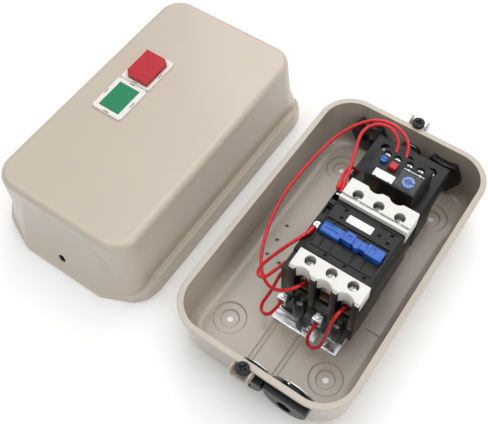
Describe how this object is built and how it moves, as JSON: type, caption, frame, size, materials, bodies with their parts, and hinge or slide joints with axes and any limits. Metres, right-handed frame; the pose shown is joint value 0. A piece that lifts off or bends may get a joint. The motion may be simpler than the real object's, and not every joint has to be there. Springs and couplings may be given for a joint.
{
  "type": "enclosed magnetic motor starter",
  "caption": "Magnetic motor starter: contactor and overload relay in a painted steel tray, with its push-button cover lifted off and standing beside it.",
  "frame": {"origin": "centre of the four wall screw holes, on the tray's back face", "axes": "+Z out of the wall through the open front, +Y along the enclosure's long side towards the relay, +X across it away from the standing cover"},
  "size_m": [0.424, 0.3395, 0.1182],
  "materials": {
    "tray_paint": "semi gloss",
    "cover_paint": "semi gloss",
    "zinc": "bright zinc",
    "steel": "satin",
    "iron": "satin",
    "copper": "satin",
    "black_plastic": "fine grain",
    "white_plastic": "satin",
    "blue_plastic": "satin",
    "red_plastic": "gloss",
    "green_plastic": "gloss",
    "clear": "clear",
    "label": "paper",
    "rubber": "matt",
    "red_sheath": "satin",
    "coil_tape": "satin"
  },
  "bodies": {
    "base": {"coil_bobbin": "white_plastic", "coil_winding": "coil_tape", "contactor_base_plate": "zinc", "contactor_boss_screws": "steel", "contactor_clamp_terminals": "zinc", "contactor_label": "label", "contactor_lower_housing": "black_plastic", "contactor_plate_screws": "zinc", "contactor_power_screws": "zinc", "contactor_rail_clip": "zinc", "contactor_upper_housing": "black_plastic", "far_terminal_bars": "copper", "far_terminal_cover": "white_plastic", "fixed_core": "iron", "grommet_far_left": "rubber", "grommet_far_middle": "rubber", "grommet_far_right": "rubber", "grommet_near_middle": "rubber", "grommet_near_right": "rubber", "lid_brackets": "tray_paint", "lid_screws": "black_plastic", "near_terminal_bars": "copper", "near_terminal_cover": "white_plastic", "relay_bimetal_strips": "steel", "relay_head": "black_plastic", "relay_heater_windings": "copper", "relay_housing": "black_plastic", "relay_label": "label", "relay_load_screws": "zinc", "relay_tabs": "copper", "relay_window_pin": "steel", "return_springs": "steel", "seal_plates": "zinc", "shading_rings": "copper", "small_terminal_screws": "zinc", "terminal_cages": "zinc", "tray_shell": "tray_paint", "wire_coil_to_shoulder": "red_sheath", "wire_coil_to_side": "red_sheath", "wire_phase_to_clamp": "red_sheath", "wire_relay_to_coil": "red_sheath", "wire_relay_to_phase": "red_sheath", "wire_side_to_clamp": "red_sheath"},
    "cover": {"cover_shell": "cover_paint", "stop_bezel": "white_plastic", "start_bezel": "white_plastic", "stop_spring": "steel", "start_spring": "steel"},
    "stop_button": {"stop_cap": "red_plastic", "stop_clip": "steel"},
    "start_button": {"start_cap": "green_plastic", "start_clip": "steel"},
    "carrier": {"contact_carrier": "blue_plastic", "contact_bridges": "copper", "contact_springs": "steel", "armature": "iron"},
    "dial": {"relay_dial": "blue_plastic"},
    "window": {"relay_window": "clear"},
    "relay_stop": {"relay_stop_button": "red_plastic"},
    "relay_reset": {"relay_reset_button": "blue_plastic"}
  },
  "joints": [
    {"name": "cover_lift", "type": "slide", "parent": "base", "child": "cover", "axis": [0, 0, 1], "range_m": [0, 0.12]},
    {"name": "stop_press", "type": "slide", "parent": "cover", "child": "stop_button", "axis": [0, 0, -1], "range_m": [0, 0.004], "stiffness_N_per_m": 500, "springref_m": -0.003, "deforming": ["stop_spring"]},
    {"name": "start_press", "type": "slide", "parent": "cover", "child": "start_button", "axis": [0, 0, -1], "range_m": [0, 0.004], "stiffness_N_per_m": 500, "springref_m": -0.003, "deforming": ["start_spring"]},
    {"name": "carrier_pull", "type": "slide", "parent": "base", "child": "carrier", "axis": [0, 0, -1], "range_m": [0, 0.005], "stiffness_N_per_m": 1500, "springref_m": -0.006, "deforming": ["return_springs"]},
    {"name": "dial_turn", "type": "hinge", "parent": "base", "child": "dial", "pos_m": [0.0345, 0.0625, 0.113], "axis": [0, 0, 1], "range_deg": [-135, 135]},
    {"name": "window_lift", "type": "hinge", "parent": "base", "child": "window", "pos_m": [0.0345, 0.074, 0.1145], "axis": [-1, 0, 0], "range_deg": [0, 100]},
    {"name": "relay_stop_press", "type": "slide", "parent": "base", "child": "relay_stop", "axis": [0, 0, -1], "range_m": [0, 0.002], "stiffness_N_per_m": 300, "springref_m": -0.002},
    {"name": "relay_reset_press", "type": "slide", "parent": "base", "child": "relay_reset", "axis": [0, 0, -1], "range_m": [0, 0.002], "stiffness_N_per_m": 300, "springref_m": -0.002}
  ]
}
